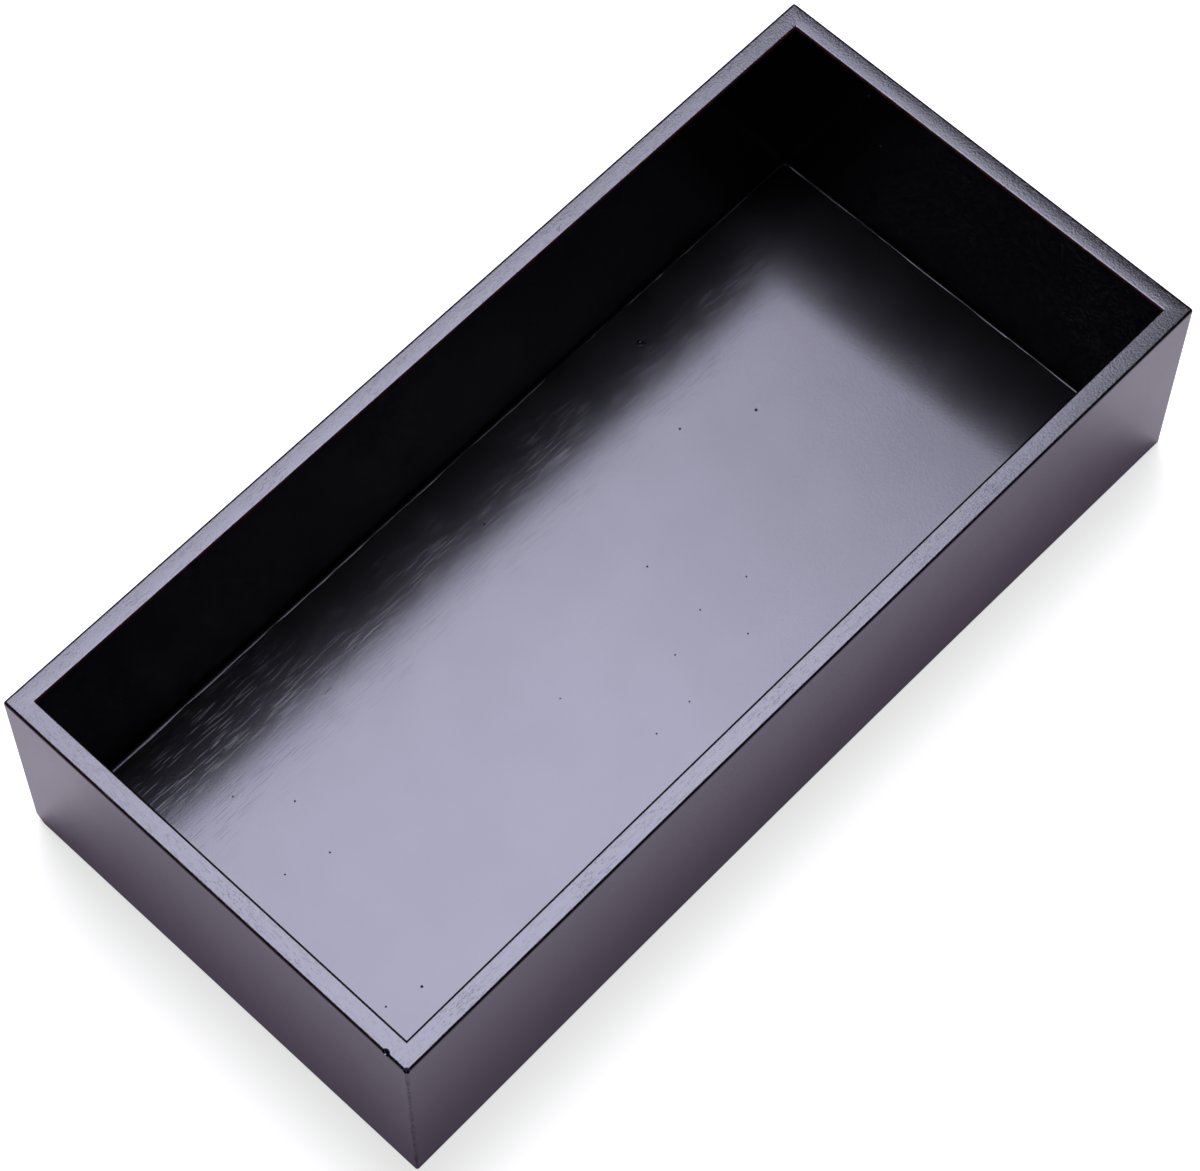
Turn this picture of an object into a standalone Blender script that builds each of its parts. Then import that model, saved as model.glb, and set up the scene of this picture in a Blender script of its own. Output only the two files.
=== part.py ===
"""Open wooden drawer organizer, lacquered black.

Two long sides lap the ends of two end walls in glued and pinned butt joints. A thin
plywood panel is captured in a groove that runs round the foot of all four boards.

Frame: metres, +Z up, +X along the tray, origin at the middle of its underside.
"""

import math

import bmesh
import bpy
from mathutils import Matrix, Vector

# The tray
LENGTH = 0.310
WIDTH = 0.150
HEIGHT = 0.075
WALL = 0.0065

# The bottom panel and the groove that captures it
PANEL_THICKNESS = 0.003
PANEL_LIFT = 0.003  # from the foot of the walls to the underside of the panel
PANEL_PLAY = 0.0003  # all round the panel in its groove
GROOVE_DEPTH = 0.003

# Glue between the boards, and the sanding that eases the arrises once it has set
GLUE_LINE = 0.0003
OUTER_EASE = 0.0006
INNER_EASE = 0.0006

# The brads that pin each corner, driven through the long side into the end wall
BRADS_PER_CORNER = 3
BRAD_LENGTH = 0.020
BRAD_DIAMETER = 0.0012
BRAD_HEAD_DIAMETER = 0.0020
BRAD_HEAD_THICKNESS = 0.0005
BRAD_POINT_LENGTH = 0.0020
BRAD_TIP_DIAMETER = 0.0004
BRAD_SINK = 0.0010  # the head is punched this far below the face, then filled over
BRAD_MARGIN = 0.010  # from the rim, and from the groove, to the nearest brad
BRAD_CLEARANCE = 0.0003

# How finely the round forms are cut
EASE_STEPS = 4
GROOVE_END_STEPS = 8
BRAD_SIDES = 12

# Worked out from the sizes above
CAVITY_LENGTH = LENGTH - 2 * WALL
CAVITY_WIDTH = WIDTH - 2 * WALL
GROOVE_FOOT = PANEL_LIFT - PANEL_PLAY
GROOVE_TOP = PANEL_LIFT + PANEL_THICKNESS + PANEL_PLAY
TONGUE = GROOVE_DEPTH - PANEL_PLAY
BLANK_SPARE = WALL / 3  # blanks and cutters run this far past the faces they are trimmed to

LONG_SIDES = {"near": -1, "far": 1}
END_WALLS = {"left": -1, "right": 1}


def clear_scene():
    for obj in list(bpy.data.objects):
        bpy.data.objects.remove(obj, do_unlink=True)


def make_material(name, colour, roughness, metallic=0.0):
    made = bpy.data.materials.new(name)
    made.use_nodes = True
    shader = made.node_tree.nodes["Principled BSDF"]
    shader.inputs["Base Color"].default_value = (*colour, 1.0)
    shader.inputs["Roughness"].default_value = roughness
    shader.inputs["Metallic"].default_value = metallic
    return made


def block(low, high):
    """A box between two opposite corners."""
    shape = bmesh.new()
    size = Vector(high) - Vector(low)
    middle = (Vector(high) + Vector(low)) / 2
    placed = Matrix.Translation(middle) @ Matrix.Diagonal((*size, 1.0))
    bmesh.ops.create_cube(shape, size=1.0, matrix=placed)
    return shape


def add_loft(shape, loops):
    """Skins a run of loops that have equally many points, and caps both ends."""
    rows = [[shape.verts.new(point) for point in loop] for loop in loops]
    count = len(rows[0])
    for row, following in zip(rows, rows[1:]):
        for k in range(count):
            beside = (k + 1) % count
            shape.faces.new((row[k], row[beside], following[beside], following[k]))
    shape.faces.new(rows[0])
    shape.faces.new(rows[-1])
    bmesh.ops.recalc_face_normals(shape, faces=shape.faces[:])
    return shape


def make_object(name, shape, material=None):
    mesh = bpy.data.meshes.new(name)
    shape.to_mesh(mesh)
    shape.free()
    if material:
        mesh.materials.append(material)
    obj = bpy.data.objects.new(name, mesh)
    bpy.context.scene.collection.objects.link(obj)
    return obj


def make_cutter(name, shape):
    obj = make_object(name, shape)
    obj.hide_render = True
    obj.display_type = "WIRE"
    return obj


def eased_outside():
    """The whole tray's outside as sanding leaves it, to trim every board to."""
    shape = block((-LENGTH / 2, -WIDTH / 2, 0), (LENGTH / 2, WIDTH / 2, HEIGHT))
    bmesh.ops.bevel(
        shape,
        geom=shape.edges[:],
        offset=OUTER_EASE,
        segments=EASE_STEPS,
        profile=0.5,
        affect="EDGES",
    )
    return shape


def inner_arris():
    """Points round an eased inner arris: how far behind the wall's face, and how far up."""
    for k in range(EASE_STEPS + 1):
        angle = math.radians(90) * k / EASE_STEPS
        yield INNER_EASE * (1 - math.cos(angle)), INNER_EASE * math.sin(angle)


def eased_inside():
    """A core clear of the inner faces, which flares at the rim and foot to ease their arrises."""
    foot = [(INNER_EASE - up, behind) for behind, up in inner_arris()]
    rim = [(HEIGHT - INNER_EASE + up, behind) for behind, up in inner_arris()]
    profile = [(-BLANK_SPARE, INNER_EASE)]
    profile += reversed(foot)
    profile += [(INNER_EASE + BLANK_SPARE, -BLANK_SPARE)]
    profile += [(HEIGHT - INNER_EASE - BLANK_SPARE, -BLANK_SPARE)]
    profile += rim
    profile += [(HEIGHT + BLANK_SPARE, INNER_EASE)]
    loops = []
    for height, behind in profile:
        x = CAVITY_LENGTH / 2 + behind
        y = CAVITY_WIDTH / 2 + behind
        loops.append([(-x, -y, height), (x, -y, height), (x, y, height), (-x, y, height)])
    return add_loft(bmesh.new(), loops)


def routed_groove():
    """The near long side's groove: a slot with half-round ends, stopped behind the end walls."""
    radius = (GROOVE_TOP - GROOVE_FOOT) / 2
    middle = (GROOVE_TOP + GROOVE_FOOT) / 2
    outline = []
    for end in (1, -1):
        for k in range(GROOVE_END_STEPS + 1):
            angle = math.radians(180) * k / GROOVE_END_STEPS - math.radians(90)
            x = end * (CAVITY_LENGTH / 2 + radius * math.cos(angle))
            outline.append((x, middle + end * radius * math.sin(angle)))
    face = -CAVITY_WIDTH / 2
    depths = (face - GROOVE_DEPTH, face + BLANK_SPARE)
    return add_loft(bmesh.new(), [[(x, y, z) for x, z in outline] for y in depths])


def sawn_groove():
    """The left end wall's groove, sawn right through from end to end."""
    face = -CAVITY_LENGTH / 2
    low = (face - GROOVE_DEPTH, -WIDTH / 2, GROOVE_FOOT)
    high = (face + BLANK_SPARE, WIDTH / 2, GROOVE_TOP)
    return block(low, high)


def brad_profile(grow=0.0):
    """Radius and height of a brad from its tip to its head, whose face is at height 0."""
    shank = BRAD_DIAMETER / 2 + grow
    head = BRAD_HEAD_DIAMETER / 2 + grow
    neck = -BRAD_HEAD_THICKNESS - grow
    return [
        (BRAD_TIP_DIAMETER / 2 + grow, -BRAD_LENGTH - grow),
        (shank, BRAD_POINT_LENGTH - BRAD_LENGTH - grow),
        (shank, neck),
        (head, neck),
        (head, grow),
    ]


def add_turned(shape, profile, place=Matrix.Identity(4)):
    """Turns a profile round local Z, then puts it in its place."""
    loops = []
    for radius, height in profile:
        ring = []
        for k in range(BRAD_SIDES):
            angle = math.tau * k / BRAD_SIDES
            point = Vector((radius * math.cos(angle), radius * math.sin(angle), height))
            ring.append(place @ point)
        loops.append(ring)
    return add_loft(shape, loops)


def brad_places():
    """Each brad's name and placement: head in its long side, point in the middle of an end wall."""
    lowest = GROOVE_TOP + BRAD_MARGIN
    highest = HEIGHT - BRAD_MARGIN
    for side, across in LONG_SIDES.items():
        turn = Matrix.Rotation(math.radians(-90) * across, 4, "X")
        for end, along in END_WALLS.items():
            for level in range(BRADS_PER_CORNER):
                share = level / max(BRADS_PER_CORNER - 1, 1)
                x = along * (LENGTH - WALL) / 2
                y = across * (WIDTH / 2 - BRAD_SINK)
                z = lowest + (highest - lowest) * share
                yield f"brad_{side}_{end}_{level + 1}", Matrix.Translation((x, y, z)) @ turn


def brad_pockets():
    """Every brad's hole at once, closed off outside where filler covers the head."""
    shape = bmesh.new()
    for _, place in brad_places():
        add_turned(shape, brad_profile(BRAD_CLEARANCE), place)
    return shape


def long_side_blank():
    """The near long side runs the whole length of the tray."""
    low = (-LENGTH / 2 - BLANK_SPARE, -WIDTH / 2 - BLANK_SPARE, -BLANK_SPARE)
    high = (LENGTH / 2 + BLANK_SPARE, -CAVITY_WIDTH / 2, HEIGHT + BLANK_SPARE)
    return block(low, high)


def end_wall_blank():
    """The left end wall fits between the long sides, less the glue."""
    reach = CAVITY_WIDTH / 2 - GLUE_LINE
    low = (-LENGTH / 2 - BLANK_SPARE, -reach, -BLANK_SPARE)
    high = (-CAVITY_LENGTH / 2, reach, HEIGHT + BLANK_SPARE)
    return block(low, high)


def bottom_panel():
    """Cut across at each corner of the cavity, so that it passes the ends of the routed grooves."""
    x = CAVITY_LENGTH / 2
    y = CAVITY_WIDTH / 2
    outline = []
    for along, across in ((1, 1), (-1, 1), (-1, -1), (1, -1)):
        in_end_wall = (along * (x + TONGUE), across * (y - TONGUE))
        in_long_side = (along * (x - TONGUE), across * (y + TONGUE))
        outline += [in_end_wall, in_long_side] if along == across else [in_long_side, in_end_wall]
    levels = (PANEL_LIFT, PANEL_LIFT + PANEL_THICKNESS)
    return add_loft(bmesh.new(), [[(u, v, height) for u, v in outline] for height in levels])


def cut(obj, cutter, operation="DIFFERENCE"):
    modifier = obj.modifiers.new(cutter.name, "BOOLEAN")
    modifier.operation = operation
    modifier.solver = "EXACT"
    modifier.object = cutter


def finished_mesh(obj, origin=(0, 0, 0)):
    """The mesh that an object's cuts leave, with the given point as its origin."""
    graph = bpy.context.evaluated_depsgraph_get()
    mesh = bpy.data.meshes.new_from_object(obj.evaluated_get(graph))
    mesh.name = obj.name
    bpy.data.objects.remove(obj, do_unlink=True)
    mesh.transform(Matrix.Translation(-Vector(origin)))
    mesh.shade_smooth()
    mesh.set_sharp_from_angle(angle=math.radians(30))
    return mesh


def place_mesh(name, mesh, parent, place):
    obj = bpy.data.objects.new(name, mesh)
    bpy.context.scene.collection.objects.link(obj)
    obj.parent = parent
    obj.matrix_local = place


def place_pair(kind, mesh, signs, origin, tray):
    """Puts a board where it was cut, and its twin half a turn round the tray's middle."""
    for side, sign in signs.items():
        turn = Matrix.Rotation(math.radians(180) if sign > 0 else 0, 4, "Z")
        place_mesh(f"{kind}_{side}", mesh, tray, turn @ Matrix.Translation(origin))


def build_boards(tray, material):
    outside = make_cutter("eased_outside", eased_outside())
    inside = make_cutter("eased_inside", eased_inside())
    pockets = make_cutter("brad_pockets", brad_pockets())
    routed = make_cutter("routed_groove", routed_groove())
    sawn = make_cutter("sawn_groove", sawn_groove())
    long_side = make_object("long_side", long_side_blank(), material)
    end_wall = make_object("end_wall", end_wall_blank(), material)
    for board, groove in ((long_side, routed), (end_wall, sawn)):
        cut(board, outside, "INTERSECT")
        for cutter in (inside, groove, pockets):
            cut(board, cutter)
    side_foot = (0, -(WIDTH - WALL) / 2, 0)
    end_foot = (-(LENGTH - WALL) / 2, 0, 0)
    place_pair("long_side", finished_mesh(long_side, side_foot), LONG_SIDES, side_foot, tray)
    place_pair("end_wall", finished_mesh(end_wall, end_foot), END_WALLS, end_foot, tray)


def build_panel(tray, material):
    panel = make_object("bottom_panel", bottom_panel(), material)
    panel.parent = tray


def build_brads(tray, material):
    brad = make_object("brad", add_turned(bmesh.new(), brad_profile()), material)
    mesh = finished_mesh(brad)
    for name, place in brad_places():
        place_mesh(name, mesh, tray, place)


def build():
    clear_scene()
    tray = bpy.data.objects.new("drawer_organizer", None)
    bpy.context.scene.collection.objects.link(tray)
    build_boards(tray, make_material("lacquered board", (0.012, 0.010, 0.013), 0.38))
    build_panel(tray, make_material("lacquered plywood", (0.010, 0.009, 0.012), 0.30))
    build_brads(tray, make_material("bright steel", (0.55, 0.55, 0.56), 0.35, metallic=1.0))


build()
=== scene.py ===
# %% [markdown]
# # A black lacquered drawer organizer
#
# The real thing is a shallow open box of four thin boards round a flat bottom, taken here
# to be plywood. It looks sprayed black after it was glued up: the lacquer runs over every
# joint, gathers in the corners and pulls thin over the arrises. This lesson dresses the
# bare joinery of the CAD model the same way: boards that follow it to a millimetre or
# so, the small accidents of a sprayed finish, and a lacquer that takes its look from the
# light.
#
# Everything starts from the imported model, which is loaded as a frame that never moves.

import math

import bmesh
import bpy
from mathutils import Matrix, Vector


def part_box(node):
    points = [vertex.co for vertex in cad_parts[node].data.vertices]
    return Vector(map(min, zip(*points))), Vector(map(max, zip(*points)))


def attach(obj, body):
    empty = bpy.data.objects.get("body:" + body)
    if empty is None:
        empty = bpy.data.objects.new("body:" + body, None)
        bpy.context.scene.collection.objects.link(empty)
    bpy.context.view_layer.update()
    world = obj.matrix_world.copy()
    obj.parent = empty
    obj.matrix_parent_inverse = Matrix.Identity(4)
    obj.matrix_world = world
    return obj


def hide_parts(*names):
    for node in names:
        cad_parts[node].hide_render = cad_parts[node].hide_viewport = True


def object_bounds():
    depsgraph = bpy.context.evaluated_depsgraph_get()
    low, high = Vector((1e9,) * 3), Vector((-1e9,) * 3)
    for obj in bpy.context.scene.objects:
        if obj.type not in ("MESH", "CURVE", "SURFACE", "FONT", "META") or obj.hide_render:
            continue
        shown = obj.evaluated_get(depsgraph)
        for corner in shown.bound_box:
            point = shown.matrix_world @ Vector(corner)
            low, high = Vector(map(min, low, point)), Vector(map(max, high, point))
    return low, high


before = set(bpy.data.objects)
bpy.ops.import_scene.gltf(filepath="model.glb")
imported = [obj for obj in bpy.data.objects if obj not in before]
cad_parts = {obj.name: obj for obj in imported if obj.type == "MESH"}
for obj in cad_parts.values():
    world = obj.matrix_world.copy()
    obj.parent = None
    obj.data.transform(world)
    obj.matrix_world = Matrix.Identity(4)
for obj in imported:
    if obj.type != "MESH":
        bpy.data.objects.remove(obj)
cad_low, cad_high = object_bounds()
print("CAD box, mm:", [round(1000 * side, 1) for side in cad_high - cad_low])

# %% [markdown]
# ## Sizes that come from the frame
#
# The outside, the thickness of the walls and the height of the bottom panel are all
# read from the boxes of the CAD nodes, so that the boards, the panel and the bead still
# fit after the model has changed. What the boxes can't say, such as how far sandpaper
# has eased an arris, is named in metres where it is first needed. Dents and dust have
# fixed places, because they belong to this one tray.

# %% Read the sizes
HALF = (cad_high - cad_low) / 2
HEIGHT = cad_high.z
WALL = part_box("end_wall_left")[1].x - cad_low.x
INSIDE = HALF - Vector((WALL, WALL, 0))
PANEL_LOW, PANEL_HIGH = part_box("bottom_panel")
FLOOR = PANEL_HIGH.z
OUTER_EASE = 0.0008
INNER_EASE = 0.0008
print("wall, mm:", round(1000 * WALL, 2), "floor of the tray, mm:", round(1000 * FLOOR, 2))

# %% [markdown]
# ## Working as in the viewport
#
# The pieces are modelled with the operators behind Blender's menus. An operator acts on
# whatever is selected, so each step first clears the selection and then picks faces,
# edges or vertices by where they lie. These few helpers do the picking.


# %% Helpers for edit mode
def start_clean():
    if bpy.context.object and bpy.context.object.mode == "EDIT":
        bpy.ops.object.mode_set(mode="OBJECT")
    bpy.ops.object.select_all(action="DESELECT")


def activate(obj):
    start_clean()
    obj.select_set(True)
    bpy.context.view_layer.objects.active = obj


def edit(obj):
    activate(obj)
    bpy.ops.object.mode_set(mode="EDIT")


def pick(obj, kind, test):
    """Selects each FACE, EDGE or VERT of the piece in edit mode that passes the test."""
    bpy.ops.mesh.select_mode(type=kind)
    bpy.ops.mesh.select_all(action="DESELECT")
    shape = bmesh.from_edit_mesh(obj.data)
    parts = {"FACE": shape.faces, "EDGE": shape.edges, "VERT": shape.verts}[kind]
    chosen = [part for part in parts if test(part)]
    for part in chosen:
        part.select_set(True)
    if kind == "VERT":
        shape.select_flush(True)
    bmesh.update_edit_mesh(obj.data)
    return len(chosen)


def block(name, low, high):
    """A box between two corners, with its place and size in its mesh."""
    start_clean()
    bpy.ops.mesh.primitive_cube_add(size=1, location=(Vector(low) + Vector(high)) / 2)
    made = bpy.context.object
    made.name = name
    made.scale = Vector(high) - Vector(low)
    bpy.ops.object.transform_apply(location=True, rotation=True, scale=True)
    return made


def throw_away(*objects):
    for obj in objects:
        bpy.data.objects.remove(obj, do_unlink=True)


def triangles(obj):
    return sum(len(face.vertices) - 2 for face in obj.data.polygons)


# %% [markdown]
# ## The carcass, before it is sawn into boards
#
# A real box is sanded after it is glued up, so one eased arris runs right round its
# rim without a step at the joints. The model is made in the same order. A block has its
# top and bottom inset by the thickness of a wall, the two insets are bridged into a
# tunnel, and then the twelve outer edges and the eight inner ones are bevelled by a
# little under a millimetre, as a few strokes of sandpaper would.

# %% Block, tunnel and arrises
TINY = 1e-6
FACING = 0.9  # a face whose normal has more than this along an axis faces that way
OUTER_SEGMENTS, INNER_SEGMENTS = 6, 5


def near(value, target):
    return abs(value - target) < TINY


def same(edge, axis):
    """True where both ends of an edge lie at the same place along an axis."""
    return near(edge.verts[0].co[axis], edge.verts[1].co[axis])


def is_outer_corner(vert):
    return near(abs(vert.co.x), HALF.x) and near(abs(vert.co.y), HALF.y)


def is_inner_corner(vert):
    return near(abs(vert.co.x), INSIDE.x) and near(abs(vert.co.y), INSIDE.y)


def ease(obj, test, offset, segments):
    pick(obj, "EDGE", test)
    bpy.ops.mesh.bevel(offset=offset, segments=segments, profile=0.5, affect="EDGES")


carcass = block("carcass", cad_low, cad_high)
edit(carcass)
pick(carcass, "FACE", lambda face: abs(face.normal.z) > FACING)
bpy.ops.mesh.inset(thickness=WALL)
bpy.ops.mesh.bridge_edge_loops()
bpy.ops.mesh.select_all(action="SELECT")
bpy.ops.mesh.normals_make_consistent(inside=False)
ease(carcass, lambda edge: all(map(is_outer_corner, edge.verts)), OUTER_EASE, OUTER_SEGMENTS)
ease(carcass, lambda edge: all(map(is_inner_corner, edge.verts)) and same(edge, 2),
     INNER_EASE, INNER_SEGMENTS)
bpy.ops.object.mode_set(mode="OBJECT")
print("carcass:", len(carcass.data.polygons), "faces")

# %% [markdown]
# ## Loops to bend and crown
#
# A bevelled block has no points between its corners, so nothing along a board could
# bend. Cutting planes add loops at even steps along both walls. More loops run close
# beside the arrises: there they hold the flat faces flat, and across the rim they give
# it a low crown, because a sanding block tends to take a little more off the edges.

# %% Slices through the carcass
STEP = 0.015
RIM_LOOPS = (0.0010, 0.0021, 0.00325, 0.0044, 0.0055)  # inwards from the outer face
CROWN = 0.00008


def slice_at(axis, place, **clear):
    """Cuts all of the piece in edit mode with a plane square to one axis."""
    point, normal = Vector(), Vector()
    point[axis] = place
    normal[axis] = 1
    bpy.ops.mesh.select_all(action="SELECT")
    bpy.ops.mesh.bisect(plane_co=point, plane_no=normal, threshold=TINY, **clear)


def even_steps(reach):
    """Places between two opposite faces, about a step apart."""
    count = round(2 * reach / STEP)
    return [reach * (2 * k / count - 1) for k in range(1, count)]


def off_middle_line(point):
    """How far a point lies outside the middle line of the walls, seen from above."""
    return max(abs(point.x) - HALF.x, abs(point.y) - HALF.y) + WALL / 2


edit(carcass)
for axis in (0, 1):
    for place in even_steps(INSIDE[axis]):
        slice_at(axis, place)
    for inward in RIM_LOOPS:
        for side in (-1, 1):
            slice_at(axis, side * (HALF[axis] - inward))
for inward in (RIM_LOOPS[0], HEIGHT - RIM_LOOPS[0], HEIGHT / 2):
    slice_at(2, inward)
bpy.ops.object.mode_set(mode="OBJECT")
for vert in carcass.data.vertices:
    if vert.co.z > HEIGHT - OUTER_EASE - TINY:
        vert.co.z -= CROWN * (off_middle_line(vert.co) / (WALL / 2)) ** 2
print("carcass with loops:", triangles(carcass), "triangles")

# %% [markdown]
# ## Sawing the carcass into its boards
#
# The long sides lap the ends of the end walls, so the joints lie in the planes of the
# long sides' inner faces. A copy of the carcass is cut there, what lies beyond is
# thrown away and the open ends are filled. The boards then meet edge to edge, as they
# do under the lacquer, where the CAD model leaves a gap for the glue.


# %% Near long side and left end wall
def copy_of(obj, name):
    activate(obj)
    bpy.ops.object.duplicate()
    made = bpy.context.object
    made.name = name
    return made


def saw(piece, axis, place, kept):
    """Keeps the part of a piece on one side of a cut: -1 below it, 1 above it."""
    edit(piece)
    slice_at(axis, place, clear_outer=kept < 0, clear_inner=kept > 0)


def close_cuts(piece):
    bpy.ops.mesh.select_all(action="SELECT")
    bpy.ops.mesh.fill_holes(sides=0)
    bpy.ops.mesh.normals_make_consistent(inside=False)
    bpy.ops.object.mode_set(mode="OBJECT")


near_side = copy_of(carcass, "near_side_board")
saw(near_side, 1, -INSIDE.y, -1)
close_cuts(near_side)
left_end = copy_of(carcass, "left_end_board")
saw(left_end, 0, -INSIDE.x, -1)
saw(left_end, 1, -INSIDE.y, 1)
saw(left_end, 1, INSIDE.y, -1)
close_cuts(left_end)
throw_away(carcass)
print("boards:", triangles(near_side), "and", triangles(left_end), "triangles")

# %% [markdown]
# ## The groove and the holes for the brads
#
# As in the CAD model, the panel sits in a groove that is routed in the long sides, where
# it has half-round ends, and sawn right through the end walls. Its cutter is a block, and
# bevelling the block's end edges by half its height makes the round ends. A brad's hole
# is a stepped cylinder: the cap is inset to the shank and pushed in. None of this shows
# from above, and the photo doesn't prove it, but the boards have to come apart as such
# boards would.

# %% Cutters
PLAY = 0.0003
GROOVE_DEPTH = 0.003
SPARE = 0.002  # how far a cutter reaches past the face that it opens
ROUND_END_SEGMENTS = 8


def cut(piece, cutter):
    activate(piece)
    bpy.ops.object.modifier_add(type="BOOLEAN")
    modifier = piece.modifiers[-1]
    modifier.operation = "DIFFERENCE"
    modifier.object = cutter
    bpy.ops.object.modifier_apply(modifier=modifier.name)


groove_foot, groove_top = PANEL_LOW.z - PLAY, PANEL_HIGH.z + PLAY
round_end = (groove_top - groove_foot) / 2
routed = block(
    "routed_groove",
    (-INSIDE.x - round_end, -INSIDE.y - GROOVE_DEPTH, groove_foot),
    (INSIDE.x + round_end, -INSIDE.y + SPARE, groove_top),
)
edit(routed)
ease(routed, lambda edge: same(edge, 0) and same(edge, 2), round_end - TINY, ROUND_END_SEGMENTS)
sawn = block(
    "sawn_groove",
    (-INSIDE.x - GROOVE_DEPTH, -HALF.y, groove_foot),
    (-INSIDE.x + SPARE, HALF.y, groove_top),
)
cut(near_side, routed)
cut(left_end, sawn)
throw_away(routed, sawn)


# %% Holes for the brads
SHANK_ACROSS = 0.0012
HEAD_THICKNESS = 0.0005
HOLE_SIDES = 12


def brad_hole(node):
    """A hole that clears one brad all round, wider where its head is."""
    low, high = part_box(node)
    across = 1 if high.y > 0 else -1
    head = (high.x - low.x) / 2 + PLAY
    outer_end = (high.y if across > 0 else -low.y) + PLAY
    neck = outer_end - HEAD_THICKNESS - 2 * PLAY
    inner_end = outer_end - (high.y - low.y) - 2 * PLAY
    start_clean()
    bpy.ops.mesh.primitive_cylinder_add(
        vertices=HOLE_SIDES,
        radius=head,
        depth=outer_end - neck,
        location=((low.x + high.x) / 2, across * (outer_end + neck) / 2, (low.z + high.z) / 2),
        rotation=(math.radians(90), 0, 0),
    )
    hole = bpy.context.object
    bpy.ops.object.transform_apply(location=True, rotation=True, scale=True)
    edit(hole)
    pick(hole, "FACE", lambda face: face.normal.y * across < -FACING)
    bpy.ops.mesh.inset(thickness=head - SHANK_ACROSS / 2 - PLAY)
    push = (0, across * (inner_end - neck), 0)
    bpy.ops.mesh.extrude_region_move(TRANSFORM_OT_translate={"value": push})
    bpy.ops.object.mode_set(mode="OBJECT")
    return hole


brads = [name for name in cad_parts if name.startswith("brad_")]
for name in brads:
    boards = [board for board, word in ((near_side, "_near_"), (left_end, "_left_")) if word in name]
    if boards:
        hole = brad_hole(name)
        for board in boards:
            cut(board, hole)
        throw_away(hole)
print("boards with grooves and holes:", triangles(near_side), "and", triangles(left_end), "triangles")

# %% [markdown]
# ## The other two boards
#
# Half a turn about the tray's middle puts each board in its partner's place. The copies
# are made now, before the knocks and dents that make each board different.

# %% Far long side and right end wall
def twin_of(obj, name):
    made = copy_of(obj, name)
    made.rotation_euler.z = math.radians(180)
    bpy.ops.object.transform_apply(location=True, rotation=True, scale=True)
    return made


far_side = twin_of(near_side, "far_side_board")
right_end = twin_of(left_end, "right_end_board")
boards = {"near": near_side, "far": far_side, "left": left_end, "right": right_end}
print("boards made:", ", ".join(board.name for board in boards.values()))

# %% [markdown]
# ## Knocks and dents
#
# The photographed tray has a dent in the left rim, right at the joint by the near
# corner, smaller ones beside it, and a row of long nicks down that corner's arris. Five
# of the nicks are placed from the photo, and the others fill the row in between. Each is
# scooped out with a sphere at the surface, stretched along the arris for the nicks,
# because real dents are shallow and have a soft floor with a crisp edge. All are
# geometry and not bump, so they also show in outline.

# %% Scoop them out
RIM_DENT = ((-0.1548, -0.0671, 0.0752), (0.0013, 0.0013, 0.0013))
SMALL_DENTS = (
    ((-0.1550, -0.0701, 0.0751), 0.0006), ((-0.1549, -0.0722, 0.0751), 0.0005),
    ((-0.1548, -0.0746, 0.0750), 0.0013),
)
CORNER_NICKS = (
    (0.0716, 0.0006), (0.0689, 0.0008), (0.0640, 0.0004), (0.0579, 0.0006),
    (0.0525, 0.0004), (0.0470, 0.0005), (0.0412, 0.0007), (0.0362, 0.0004),
    (0.0310, 0.0008), (0.0264, 0.0006), (0.0205, 0.0004), (0.0093, 0.0005),
)
NICK_GROWTH = 1.6
NICK_STRETCH = 3.5
NICK_OVERHANG = 0.4  # how far a nick's middle lies outside the arris, as a share of its radius


def scoop(board, place, radii):
    start_clean()
    bpy.ops.mesh.primitive_ico_sphere_add(subdivisions=3, radius=1, location=place)
    ball = bpy.context.object
    ball.scale = radii
    bpy.ops.object.transform_apply(location=True, rotation=True, scale=True)
    cut(board, ball)
    throw_away(ball)


scoop(left_end, *RIM_DENT)
for place, size in SMALL_DENTS:
    scoop(near_side, place, (size, size, size))
arris_corner = -HALF + Vector((1, 1, 0)) * OUTER_EASE * (1 - math.sqrt(0.5))
for height, size in CORNER_NICKS:
    size *= NICK_GROWTH
    outward = NICK_OVERHANG * size
    place = (arris_corner.x - outward, arris_corner.y - outward, height)
    scoop(near_side, place, (size, size, NICK_STRETCH * size))
print("near board after its nicks:", triangles(near_side), "triangles")

# %% [markdown]
# ## The knocked-off foot corner
#
# The far left foot corner has been knocked off, by 4 mm along the foot and up the edge.
# One slanting cut with a filled face does it. How far it goes round the hidden side is a
# guess. Blender limits each part of the plane's normal to 1, so a longer normal would
# tilt the cut without a warning, and it is brought to length 1 first.

# %% Cut it off
KNOCKED_FOOT = Vector((0.0025, 0.0041, 0.0044))

slant = Vector((-1 / KNOCKED_FOOT.x, 1 / KNOCKED_FOOT.y, -1 / KNOCKED_FOOT.z)).normalized()
corner_foot = Vector((-HALF.x + KNOCKED_FOOT.x, HALF.y, 0))
edit(far_side)
bpy.ops.mesh.select_all(action="SELECT")
bpy.ops.mesh.bisect(plane_co=corner_foot, plane_no=slant, clear_outer=True, use_fill=True)
bpy.ops.object.mode_set(mode="OBJECT")
print("far board without its foot corner:", triangles(far_side), "triangles")

# %% [markdown]
# ## Where the lacquer is thin
#
# Lacquer pulls back from a sharp arris, and the reddish undercoat glows through. Every
# point gets a number from 0 on a flat face to 1 on the crest of an arris, which the
# material reads later as an attribute. It is worked out now, while the boards are still
# straight. On this tray it shows most on the left end's outer arris and on the right
# end's inner one, so each board is given its own share.

# %% Mark the arrises
THIN_OUTSIDE = {"near": 0.04, "far": 0.2, "left": 0.25, "right": 0.2}
THIN_INSIDE = {"near": 0.04, "far": 0.3, "left": 0.08, "right": 0.45}


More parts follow.
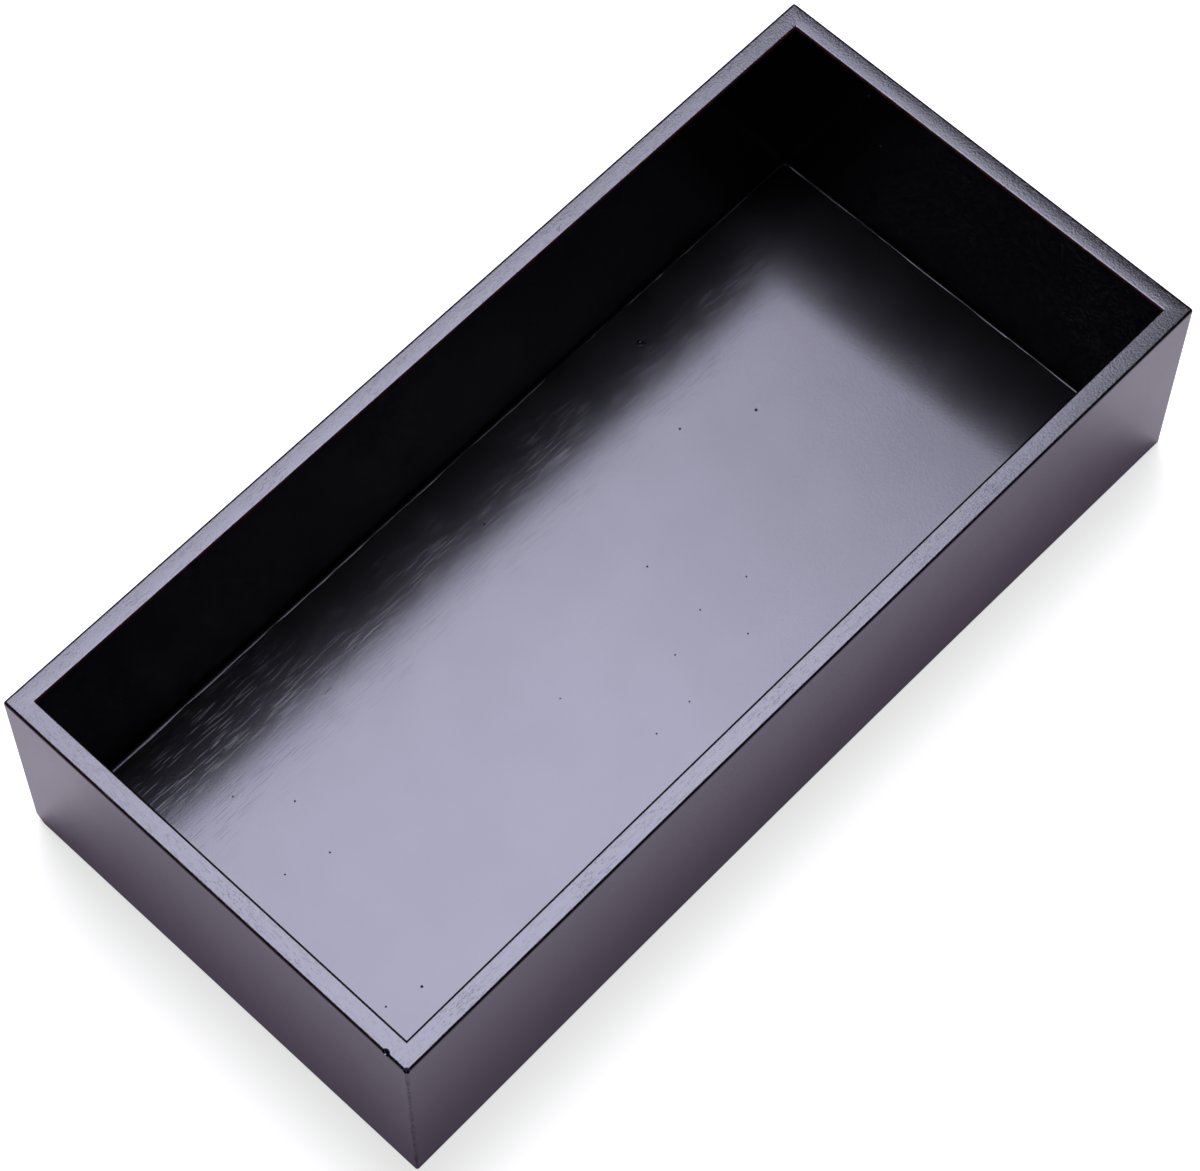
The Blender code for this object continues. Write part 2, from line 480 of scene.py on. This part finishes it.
def crest(one, other, reach):
    """1 on the middle of a rounded arris, falling to 0 where it meets its two faces."""
    return max(0, 1 - one / reach) * max(0, 1 - other / reach) * 2


def arris_share(point, outside, inside):
    from_faces = sorted((HALF.x - abs(point.x), HALF.y - abs(point.y), point.z, HEIGHT - point.z))
    outer = crest(from_faces[0], from_faces[1], OUTER_EASE)
    behind = max(abs(point.x) - INSIDE.x, abs(point.y) - INSIDE.y)
    inner = crest(behind, HEIGHT - point.z, INNER_EASE) if behind < INNER_EASE else 0
    return min(1, outside * outer + inside * inner)


for word, board in boards.items():
    arris = board.data.attributes.new("arris", "FLOAT", "POINT")
    for vert, value in zip(board.data.vertices, arris.data):
        value.value = arris_share(vert.co, THIN_OUTSIDE[word], THIN_INSIDE[word])
    print(board.name, "largest arris share:", round(max(value.value for value in arris.data), 2))

# %% [markdown]
# ## The bottom panel
#
# A sheet of plywood with its corners cut off, so that it passes the round ends of the
# routed grooves. The block's four upright edges get a one-segment bevel as wide as the
# tongues are long. Loops let it follow the near side's bow, and let it arch up by one
# millimetre: in the photo the shadow at the far wall begins sooner than on a flat floor.
# The arch was found by trial and not measured, so it may stand in for something else.

# %% Panel
TONGUE = PANEL_HIGH.x - INSIDE.x
ARCH = 0.0010


def arch(x, y):
    """How far the panel has risen at a place, from 0 along the walls."""
    return ARCH * max(0, 1 - (x / INSIDE.x) ** 2) * max(0, 1 - (y / INSIDE.y) ** 2)


panel = block("panel_board", PANEL_LOW, PANEL_HIGH)
edit(panel)
pick(panel, "EDGE", lambda edge: not same(edge, 2))
bpy.ops.mesh.bevel(offset=2 * TONGUE, segments=1, affect="EDGES")
for axis in (0, 1):
    for place in even_steps(INSIDE[axis]):
        slice_at(axis, place)
bpy.ops.object.mode_set(mode="OBJECT")
for vert in panel.data.vertices:
    vert.co.z += arch(vert.co.x, vert.co.y)
print("panel:", triangles(panel), "triangles")

# %% [markdown]
# ## Paint in the corners
#
# Sprayed lacquer gathers where the walls meet the floor and dries as a small hollow
# fillet, which draws the bright line round the floor. The hollow is the outside of a
# block that just fills the tray: its bottom edges are bevelled, only the round strips
# are kept, and a back is pulled down the wall and bridged to the front edge. Along the
# long sides the bead spreads out at the left and draws in towards the right, as its
# bright line by the far wall does. It is then made a little uneven, as a sprayed one is.

# %% Fillet round the floor
FILLET = 0.0010
FILLET_SEGMENTS = 6
LOOPS_PER_STEP = (-1 / 3, 0, 1 / 3)

bead = block("corner_bead", (-INSIDE.x, -INSIDE.y, FLOOR), (INSIDE.x, INSIDE.y, HEIGHT))
edit(bead)
ease(bead, lambda edge: all(near(vert.co.z, FLOOR) for vert in edge.verts), FILLET, FILLET_SEGMENTS)
pick(bead, "FACE", lambda face: abs(face.normal.z) > 1 - TINY or abs(face.normal.z) < TINY)
bpy.ops.mesh.delete(type="FACE")
for axis in (0, 1):
    for place in even_steps(INSIDE[axis]):
        for part in LOOPS_PER_STEP:
            slice_at(axis, place + part * STEP)
pick(bead, "EDGE", lambda edge: all(near(vert.co.z, FLOOR + FILLET) for vert in edge.verts))
bpy.ops.mesh.extrude_edges_move(TRANSFORM_OT_translate={"value": (0, 0, -FILLET)})
pick(bead, "EDGE", lambda edge: edge.is_boundary)
bpy.ops.mesh.bridge_edge_loops()
bpy.ops.mesh.select_all(action="SELECT")
bpy.ops.mesh.normals_make_consistent(inside=False)
bpy.ops.object.mode_set(mode="OBJECT")
print("corner bead:", triangles(bead), "triangles")

# %% Spread it and make it uneven
SPREAD_LEFT, SPREAD_RIGHT = 2.1, 0.8
BEAD_UNEVENNESS = 0.00030
BEAD_WAVE = 0.009

for vert in bead.data.vertices:
    from_side = INSIDE.y - abs(vert.co.y)
    if from_side < FILLET + TINY:
        share = (vert.co.x / INSIDE.x + 1) / 2
        spread = SPREAD_LEFT + (SPREAD_RIGHT - SPREAD_LEFT) * share
        vert.co.y = math.copysign(INSIDE.y - spread * from_side, vert.co.y)


def is_hollow(point):
    """True on the hollow front of the bead, away from its feather edges."""
    from_wall = min(INSIDE.x - abs(point.x), INSIDE.y - abs(point.y))
    return from_wall > TINY and point.z > FLOOR + TINY


hollow = [vert.index for vert in bead.data.vertices if is_hollow(vert.co)]
front = bead.vertex_groups.new(name="front")
front.add(hollow, 1.0, "REPLACE")
waves = bpy.data.textures.new("bead_waves", "CLOUDS")
waves.noise_scale = BEAD_WAVE
activate(bead)
bpy.ops.object.modifier_add(type="DISPLACE")
bead.modifiers[-1].texture = waves
bead.modifiers[-1].strength = BEAD_UNEVENNESS
bead.modifiers[-1].mid_level = 0.5
bead.modifiers[-1].vertex_group = "front"
bpy.ops.object.modifier_apply(modifier=bead.modifiers[-1].name)
print("points of the bead that move:", len(hollow))

# %% [markdown]
# ## Dust nibs
#
# Specks that settled in the wet lacquer stand up as tiny domes. On the bright part of
# the floor they read as dark points, because their steep sides mirror the dark walls,
# and in the dark parts they catch the light. They are flattened spheres, half sunk, all
# in one piece; each has 72 faces. A few raised fibres of the plywood, long and low, join
# them near the left end. The places of the nibs and the fibres are read off the photo,
# and lie on the surface that carries them. Their sizes are chosen, and so are the
# three lumps in the far right corner, which stand for a faint roughness seen there.

# %% Nibs on the floor, the walls and in one corner
FLOOR_NIBS = (
    (-0.1182, -0.0406, 0.00030), (-0.1291, -0.0376, 0.00022), (0.0713, 0.0561, 0.00070),
    (0.0722, 0.0549, 0.00045), (0.0779, 0.0156, 0.00034), (0.0578, 0.0274, 0.00026),
    (-0.0042, 0.0467, 0.00026), (-0.1143, 0.0375, 0.00024), (-0.1076, 0.0058, 0.00022),
    (-0.1034, 0.0239, 0.00022), (-0.1208, 0.0101, 0.00020), (0.0180, 0.0032, 0.00022),
    (0.0183, -0.0173, 0.00020), (0.0222, -0.0324, 0.00020), (-0.0296, -0.0078, 0.00018),
    (0.0353, -0.0196, 0.00020), (0.0029, -0.0219, 0.00018), (-0.0050, -0.0350, 0.00020),
    (-0.0187, -0.0351, 0.00020),
)
WALL_NIBS = (
    ("far", 0.1272, 0.0078, 0.00030), ("right", 0.0334, 0.0504, 0.00028),
    ("right", 0.0398, 0.0696, 0.00024), ("right", -0.0382, 0.0386, 0.00030),
)
CORNER_LUMPS = ((0.1474, 0.0674, 0.0006), (0.1462, 0.0678, 0.0004), (0.1478, 0.0660, 0.0004))
NIB_GROWTH = 1.4
NIB_HEIGHT = 0.8
NIB_SEGMENTS, NIB_RINGS = 12, 6
FIBRES = (
    (-0.1307, 0.0502, 0.0060, 0.00070), (-0.1179, 0.0514, 0.0050, 0.00060),
    (-0.1067, 0.0526, 0.0040, 0.00055), (-0.1031, 0.0498, 0.0055, 0.00060),
    (-0.0967, 0.0431, 0.0040, 0.00055), (-0.0731, 0.0414, 0.0035, 0.00050),
)
FIBRE_HEIGHT = 0.00004


def nib(place, radii):
    """A dome whose middle lies in the surface."""
    bpy.ops.mesh.primitive_uv_sphere_add(
        segments=NIB_SEGMENTS, ring_count=NIB_RINGS, radius=1, location=place
    )
    made = bpy.context.object
    made.scale = radii
    bpy.ops.object.transform_apply(location=True, rotation=True, scale=True)
    return made


def round_nib(place, radius, flat_axis):
    radius *= NIB_GROWTH
    radii = [radius * (NIB_HEIGHT if axis == flat_axis else 1) for axis in range(3)]
    return nib(place, radii)


start_clean()
nibs = [round_nib((x, y, FLOOR + arch(x, y)), radius, 2) for x, y, radius in FLOOR_NIBS + CORNER_LUMPS]
for x, y, length, width in FIBRES:
    nibs.append(nib((x, y, FLOOR + arch(x, y)), (length / 2, width / 2, FIBRE_HEIGHT)))
for word, along, height, radius in WALL_NIBS:
    if word == "far":
        nibs.append(round_nib((along, INSIDE.y, height), radius, 1))
    else:
        nibs.append(round_nib((INSIDE.x, along, height), radius, 0))
start_clean()
for piece in nibs:
    piece.select_set(True)
bpy.context.view_layer.objects.active = nibs[0]
bpy.ops.object.join()
dust = bpy.context.object
dust.name = "dust_nibs"
print("dust nibs:", len(nibs), "domes,", triangles(dust), "triangles")

# %% [markdown]
# ## The bow of the near side
#
# Thin boards don't stay straight. The near side has drawn in at its middle, its rim by
# about a third of a millimetre and its foot by most of one, as judged. One lattice
# round the whole tray bends every piece alike, so that nothing comes apart: the middle
# points of its near face move inwards and all others stay.

# %% Lattice
LATTICE = (5, 4, 2)
BOW_SHAPE = (0.0, 0.75, 1.0, 0.75, 0.0)
NEAR_BOW = (0.0008, 0.0003)  # at the foot and at the rim

start_clean()
bpy.ops.object.add(type="LATTICE", location=(cad_low + cad_high) / 2)
cage = bpy.context.object
cage.scale = 2 * Vector((HALF.x, HALF.y, HEIGHT / 2))
cage.data.points_u, cage.data.points_v, cage.data.points_w = LATTICE
for index, point in enumerate(cage.data.points):
    along = index % LATTICE[0]
    across = index // LATTICE[0] % LATTICE[1]
    level = index // (LATTICE[0] * LATTICE[1])
    if across == 0:
        point.co_deform.y += NEAR_BOW[level] * BOW_SHAPE[along] / cage.scale.y
for direction in "uvw":
    setattr(cage.data, "interpolation_type_" + direction, "KEY_CARDINAL")


def bend(piece):
    activate(piece)
    bpy.ops.object.modifier_add(type="LATTICE")
    piece.modifiers[-1].object = cage
    bpy.ops.object.modifier_apply(modifier=piece.modifiers[-1].name)


pieces = (*boards.values(), panel, bead, dust)
for piece in pieces:
    bend(piece)
throw_away(cage)
rim_middle = [vert.co for vert in near_side.data.vertices
              if abs(vert.co.x) < STEP / 2 and vert.co.z > HEIGHT - OUTER_EASE]
drawn_in = min(point.y for point in rim_middle) + HALF.y
print("near rim drawn in at its middle, mm:", round(1000 * drawn_in, 2))

# %% [markdown]
# ## Smooth shading
#
# Smoothing by angle keeps the sawn edges crisp. Weighted normals then give each big
# flat face its own direction, so that only the bevels beside it turn, and the light
# runs straight across a face and breaks at its arris.

# %% Shade
SMOOTH_ANGLE = 35

for piece in pieces:
    activate(piece)
    bpy.ops.object.shade_smooth_by_angle(angle=math.radians(SMOOTH_ANGLE))
for board in boards.values():
    activate(board)
    bpy.ops.object.modifier_add(type="WEIGHTED_NORMAL")
    board.modifiers[-1].keep_sharp = True
    board.modifiers[-1].weight = 100
    bpy.ops.object.modifier_apply(modifier=board.modifiers[-1].name)
print("shaded:", len(pieces), "pieces, weighted:", len(boards), "boards")

# %% [markdown]
# ## Wiring a material
#
# A lacquer is nearly all reflection, so its detail is in the height and the roughness of
# the surface and hardly in its colour. Each layer of detail is a pattern at its own real
# size, mostly a noise, turned into a height in metres, and all the heights are added up
# before one Bump node. With the Bump node's distance at one metre, a height of 0.000004
# is four thousandths of a millimetre, so the numbers can be thought of as real depths.
# The patterns read Object coordinates, and every piece lies at the origin unscaled.


# %% Helpers for nodes
def new_material(name):
    made = bpy.data.materials.new(name)
    made.use_nodes = True
    made.node_tree.nodes.clear()
    return made, made.node_tree


def add(tree, kind, inputs=None, **settings):
    """A node whose inputs are set by name or number, each to a value or another node's output."""
    node = tree.nodes.new("ShaderNode" + kind)
    for key, value in settings.items():
        setattr(node, key, value)
    for key, value in (inputs or {}).items():
        if isinstance(value, bpy.types.NodeSocket):
            tree.links.new(value, node.inputs[key])
        else:
            node.inputs[key].default_value = value
    return node


def in_cells(tree, place, cell):
    """The place counted in cells, which have a size in metres along each axis."""
    return add(tree, "Mapping", {"Vector": place, "Scale": [1 / size for size in cell]}).outputs[0]


def noise(tree, place, cell, detail=2.0, roughness=0.5):
    """Noise whose lumps are about as wide as the cell, in metres, or as wide along each axis."""
    if isinstance(cell, tuple):
        place = in_cells(tree, place, cell)
        scale = 1.0
    else:
        scale = 1 / cell
    inputs = {"Vector": place, "Scale": scale, "Detail": detail, "Roughness": roughness}
    return add(tree, "TexNoise", inputs).outputs["Fac"]


def remap(tree, value, from_low, from_high, to_low=0.0, to_high=1.0):
    inputs = {"Value": value, 1: from_low, 2: from_high, 3: to_low, 4: to_high}
    return add(tree, "MapRange", inputs, interpolation_type="SMOOTHSTEP").outputs[0]


def maths(tree, operation, one, other):
    return add(tree, "Math", {0: one, 1: other}, operation=operation).outputs[0]


def total(tree, values):
    made = values[0]
    for value in values[1:]:
        made = maths(tree, "ADD", made, value)
    return made


# %% [markdown]
# ## Black lacquer
#
# One function makes every lacquer here, because they are taken to be one paint on
# different woods. Its layers are:
#
# - orange peel, the pebbling a spray gun leaves;
# - open pores, short troughs along the grain that the lacquer sinks into;
# - a faint roll of the board under it all.
#
# On the floor the open grain is drowned in lacquer except in a band along the far wall,
# strongest at the left end, so there the pores take a mask that says where they are, and
# each pore is a straight dash of its own, from a Voronoi pattern. The roughness wanders
# a little, as a sprayed coat's does. The base colour is nearly black, and the specular
# tint gives its sheen the photo's lilac cast. The index of refraction is chosen, so that
# the rims reach the photo's brightness under weaker lamps. At the arrises the attribute
# mixes in the undercoat, broken up by noise.

# %% Values of the lacquer
BLACK = (0.0016, 0.0012, 0.0014, 1.0)
UNDERCOAT = (0.10, 0.028, 0.016, 1.0)
SHEEN_TINT = (0.825, 0.785, 1.0, 1.0)
IOR = 1.6
PEEL_CELL = 0.0007
ROLL_CELL = 0.045
ROLL = 0.0000015
PATCH_CELL = 0.020
PATCHES = (0.35, 0.65, 0.6, 1.0)  # from these levels of the noise to these shares of depth
GLOSS_LEVELS, GLOSS_SPREAD = (0.3, 0.7), 0.01
WORN_CELL = 0.0025
WORN = (0.30, 0.60, 0.25, 1.0)


# %% Pores
GRAIN_LEFT, GRAIN_RIGHT, GRAIN_LEAST = -0.125, -0.060, 0.55
GRAIN_NEAR, GRAIN_FAR = 0.012, 0.038
PORE_EDGE = 0.06  # how quickly the noise sinks into a pore
PORE_CORE = 0.3  # the part of a dash, from its middle, that has its full depth


def along_grain(grain, length, width):
    """The cell of a pattern that is drawn out along the grain's axis."""
    return tuple(length if axis == grain else width for axis in range(3))


def far_band(tree, place):
    """1 along the far wall's foot by the left end, less towards the right, 0 on the open floor."""
    parts = add(tree, "SeparateXYZ", {"Vector": place}).outputs
    along = remap(tree, parts["X"], GRAIN_RIGHT, GRAIN_LEFT, GRAIN_LEAST, 1.0)
    return maths(tree, "MULTIPLY", remap(tree, parts["Y"], GRAIN_NEAR, GRAIN_FAR), along)


def merged_pores(tree, place, cell, share):
    """Pores that run into one another, from a stretched noise."""
    return remap(tree, noise(tree, place, cell, 2.0, 0.6), share, share + PORE_EDGE)


def single_pores(tree, place, cell, share):
    """Straight pores with pointed ends, scattered one to a cell, wider for a greater share."""
    counted = in_cells(tree, place, cell)
    off_middle = add(tree, "TexVoronoi", {"Vector": counted, "Scale": 1.0}).outputs["Distance"]
    return remap(tree, off_middle, share, PORE_CORE * share)


# %% The lacquer
def lacquer(name, grain, roughness, peel, pore_depth, pore_size, pore_share,
            pattern=merged_pores, where=None):
    """Black lacquer over a wood whose grain runs along one axis, 0 for X or 1 for Y.

    Peel and pore depth are heights in metres, and the size is a pore's length and width.
    Where is a mask that says where the pores are, or nothing if they are everywhere.
    """
    material, tree = new_material(name)
    place = add(tree, "TexCoord").outputs["Object"]
    pebbles = maths(tree, "MULTIPLY", noise(tree, place, PEEL_CELL, 1.0), peel)
    pores = pattern(tree, place, along_grain(grain, *pore_size), pore_share)
    patches = remap(tree, noise(tree, place, PATCH_CELL, 1.0), *PATCHES)
    if where:
        patches = maths(tree, "MULTIPLY", patches, where(tree, place))
    pores = maths(tree, "MULTIPLY", maths(tree, "MULTIPLY", pores, patches), -pore_depth)
    rolling = maths(tree, "MULTIPLY", noise(tree, place, ROLL_CELL, 0.0), ROLL)
    height = total(tree, [pebbles, pores, rolling])
    bump = add(tree, "Bump", {"Strength": 1.0, "Distance": 1.0, "Height": height}).outputs[0]
    gloss = remap(tree, noise(tree, place, PATCH_CELL, 2.0), *GLOSS_LEVELS,
                  roughness - GLOSS_SPREAD, roughness + GLOSS_SPREAD)
    arris = add(tree, "Attribute", attribute_name="arris").outputs["Fac"]
    patchy = remap(tree, noise(tree, place, WORN_CELL, 2.0), *WORN)
    thin = maths(tree, "MULTIPLY", arris, patchy)
    colour = add(tree, "MixRGB", {"Fac": thin, "Color1": BLACK, "Color2": UNDERCOAT}).outputs[0]
    shader = add(tree, "BsdfPrincipled", {
        "Base Color": colour, "Roughness": gloss, "IOR": IOR, "Specular Tint": SHEEN_TINT, "Normal": bump,
    })
    add(tree, "OutputMaterial", {"Surface": shader.outputs[0]})
    return material


# %% Coats over the boards, the floor and the bead
BOARD_COAT = {
    "roughness": 0.20, "peel": 0.000026,
    "pore_depth": 0.000010, "pore_size": (0.0020, 0.00040), "pore_share": 0.58,
}
FLOOR_COAT = {
    "roughness": 0.21, "peel": 0.000012,
    "pore_depth": 0.000015, "pore_size": (0.0120, 0.00036), "pore_share": 0.42,
    "pattern": single_pores, "where": far_band,
}
BEAD_COAT = {
    "roughness": 0.28, "peel": 0.0000020,
    "pore_depth": 0.000002, "pore_size": (0.0035, 0.00035), "pore_share": 0.60,
}

side_lacquer = lacquer("lacquer_long_side", 0, **BOARD_COAT)
end_lacquer = lacquer("lacquer_end_wall", 1, **BOARD_COAT)
floor_lacquer = lacquer("lacquer_floor", 0, **FLOOR_COAT)
bead_lacquer = lacquer("lacquer_bead", 0, **BEAD_COAT)
for made in (side_lacquer, end_lacquer, floor_lacquer, bead_lacquer):
    print(made.name, "nodes:", len(made.node_tree.nodes))

# %% [markdown]
# ## Underside
#
# The photo doesn't show the underside, so this is a guess: one thin coat, with the grain
# standing up and a dull sheen. The panel's downward face gets a material of its own, from
# the same function.

# %% Assign the lacquers
UNDER_COAT = {
    "roughness": 0.50, "peel": 0.0000060,
    "pore_depth": 0.000045, "pore_size": (0.0110, 0.00050), "pore_share": 0.52,
}

under_lacquer = lacquer("lacquer_underside", 0, **UNDER_COAT)


def coat(piece, *materials):
    piece.data.materials.clear()
    for material in materials:
        piece.data.materials.append(material)


for word, board in boards.items():
    coat(board, side_lacquer if word in ("near", "far") else end_lacquer)
coat(panel, floor_lacquer, under_lacquer)
coat(bead, bead_lacquer)
coat(dust, bead_lacquer)
for face in panel.data.polygons:
    face.material_index = 1 if face.normal.z < -FACING else 0
print("faces with the underside's coat:", sum(face.material_index for face in panel.data.polygons))

# %% [markdown]
# ## Bright steel for the brads
#
# The brads stay as the CAD has them and only need a finish. Drawn wire has fine scratches
# along its length, so the noise is stretched along Y, the way the brads are driven.

# %% Steel
STEEL = (0.56, 0.56, 0.57, 1.0)
SCRATCH_LENGTH, SCRATCH_WIDTH, SCRATCH_DEPTH = 0.004, 0.00008, 0.000002
STEEL_ROUGHNESS = (0.22, 0.38)

steel, tree = new_material("bright_drawn_wire")
place = add(tree, "TexCoord").outputs["Object"]
scratches = noise(tree, place, along_grain(1, SCRATCH_LENGTH, SCRATCH_WIDTH), 2.0)
relief = maths(tree, "MULTIPLY", scratches, SCRATCH_DEPTH)
scratched = add(tree, "Bump", {"Strength": 1.0, "Distance": 1.0, "Height": relief}).outputs[0]
shader = add(tree, "BsdfPrincipled", {
    "Base Color": STEEL, "Metallic": 1.0, "Normal": scratched,
    "Roughness": remap(tree, scratches, *GLOSS_LEVELS, *STEEL_ROUGHNESS),
})
add(tree, "OutputMaterial", {"Surface": shader.outputs[0]})
for name in brads:
    coat(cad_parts[name], steel)
print("steel on", len(brads), "brads")

# %% [markdown]
# ## Fix the pieces to the frame
#
# Each dressed piece rides on the tray's one body, and the CAD nodes whose places the
# boards and the panel take are hidden.

# %% Ride, and hide the replaced nodes
STANDS_FOR = {
    near_side: "long_side_near", far_side: "long_side_far",
    left_end: "end_wall_left", right_end: "end_wall_right", panel: "bottom_panel",
}
for piece, node in STANDS_FOR.items():
    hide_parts(node)
for piece in (*STANDS_FOR, bead, dust):
    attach(piece, "root")

# %% [markdown]
# ## Studio
#
# One big soft box hangs over the tray's far right, and the lacquer mirrors it in the rims
# and on the floor. It is brighter towards the near left, so a smaller lamp hangs just
# under it there. A third lamp over the camera's shoulder fills the shadows; no flat face
# of the tray mirrors it. Their places, sizes and brightness were found by trial. The
# floor is nearly white. It takes a real shadow, which the outer faces mirror, and for the
# camera it has some light of its own, so that the background stays white without more
# light on the tray. The world is a dark studio all round, which is what draws the arrises
# as black lines.

# %% Floor, lamps and world
FLOOR_SIZE = 14
FLOOR_COLOUR = (0.82, 0.75, 0.83, 1.0)
SEEN_GLOW = 0.70
SEEN_COLOUR = (0.98, 1.0, 0.97, 1.0)
MIRRORED_GLOW = 0.16
MIRRORED_COLOUR = (0.86, 0.62, 1.0, 1.0)


def background_glow(tree):
    """Light of the floor's own, for the camera, and less of it in gloss and glass."""
    path = add(tree, "LightPath")
    mirrored = maths(tree, "ADD", path.outputs["Is Glossy Ray"], path.outputs["Is Transmission Ray"])
    mirrored = maths(tree, "MULTIPLY", mirrored, MIRRORED_GLOW)
    seen = maths(tree, "MULTIPLY", path.outputs["Is Camera Ray"], SEEN_GLOW)
    seen = add(tree, "Emission", {"Color": SEEN_COLOUR, "Strength": seen})
    mirrored = add(tree, "Emission", {"Color": MIRRORED_COLOUR, "Strength": mirrored})
    return add(tree, "AddShader", {0: seen.outputs[0], 1: mirrored.outputs[0]})


start_clean()
bpy.ops.mesh.primitive_plane_add(size=FLOOR_SIZE, location=(0, 0, cad_low.z))
ground = bpy.context.object
ground.name = "studio_floor"
material, tree = new_material("studio_white")
matt = add(tree, "BsdfDiffuse", {"Color": FLOOR_COLOUR})
both = add(tree, "AddShader", {0: matt.outputs[0], 1: background_glow(tree).outputs[0]})
add(tree, "OutputMaterial", {"Surface": both.outputs[0]})
coat(ground, material)


# %% Lamps
LAMP_COLOUR = (0.94, 0.97, 1.0)
SOFT_BOX = {"place": (0.45, 0.57, 1.75), "size": (1.14, 1.18), "radiance": 8.2, "turn": -18}
SOFT_CORE = {"place": (0.30, 0.28, 1.74), "size": (0.84, 0.88), "radiance": 2.6}
FILL = {"place": (-1.30, -1.20, 1.60), "size": (1.1, 1.1), "radiance": 1.0}


def lamp(name, place, size, radiance, turn=0, aim=None):
    """A rectangular lamp of a given brightness, turned and facing down, or aimed at a point."""
    start_clean()
    bpy.ops.object.light_add(type="AREA", location=place)
    made = bpy.context.object
    made.name = name
    made.rotation_euler.z = math.radians(turn)
    if aim is not None:
        made.rotation_euler = (Vector(aim) - Vector(place)).to_track_quat("-Z", "Y").to_euler()
    made.data.shape = "RECTANGLE"
    made.data.size, made.data.size_y = size
    made.data.color = LAMP_COLOUR
    made.data.energy = radiance * math.pi * size[0] * size[1]
    print(name, "watts:", round(made.data.energy, 1))
    return made


lamp("soft_box", **SOFT_BOX)
lamp("soft_core", **SOFT_CORE)
lamp("fill", aim=(0, 0, 0), **FILL)

# %% World
STUDIO_DARK = 0.012

world = bpy.data.worlds.new("studio")
bpy.context.scene.world = world
world.use_nodes = True
tree = world.node_tree
tree.nodes.clear()
sky = add(tree, "Background", {"Color": (1, 1, 1, 1), "Strength": STUDIO_DARK})
add(tree, "OutputWorld", {"Surface": sky.outputs[0]})

# %% [markdown]
# ## Camera
#
# The photo was taken with a long lens from above the near left corner. The place, the
# turn and the lens were worked out from the tray's straight edges in the photo, with a
# camera that has no lens distortion, as Blender's has none.

# %% Camera
CAMERA_PLACE = (-0.37618, -0.34589, 1.01993)
CAMERA_TURN = (27.1732, -0.2746, -46.4711)
SENSOR_WIDTH, LENS = 36, 119.18
NEAREST_SEEN = 0.05

bpy.ops.object.camera_add(
    location=CAMERA_PLACE,
    rotation=[math.radians(angle) for angle in CAMERA_TURN],
)
camera = bpy.context.object
camera.name = "camera"
camera.data.sensor_fit = "HORIZONTAL"
camera.data.sensor_width = SENSOR_WIDTH
camera.data.lens = LENS
camera.data.clip_start = NEAREST_SEEN
bpy.context.scene.camera = camera
bpy.context.scene.view_settings.view_transform = "Standard"
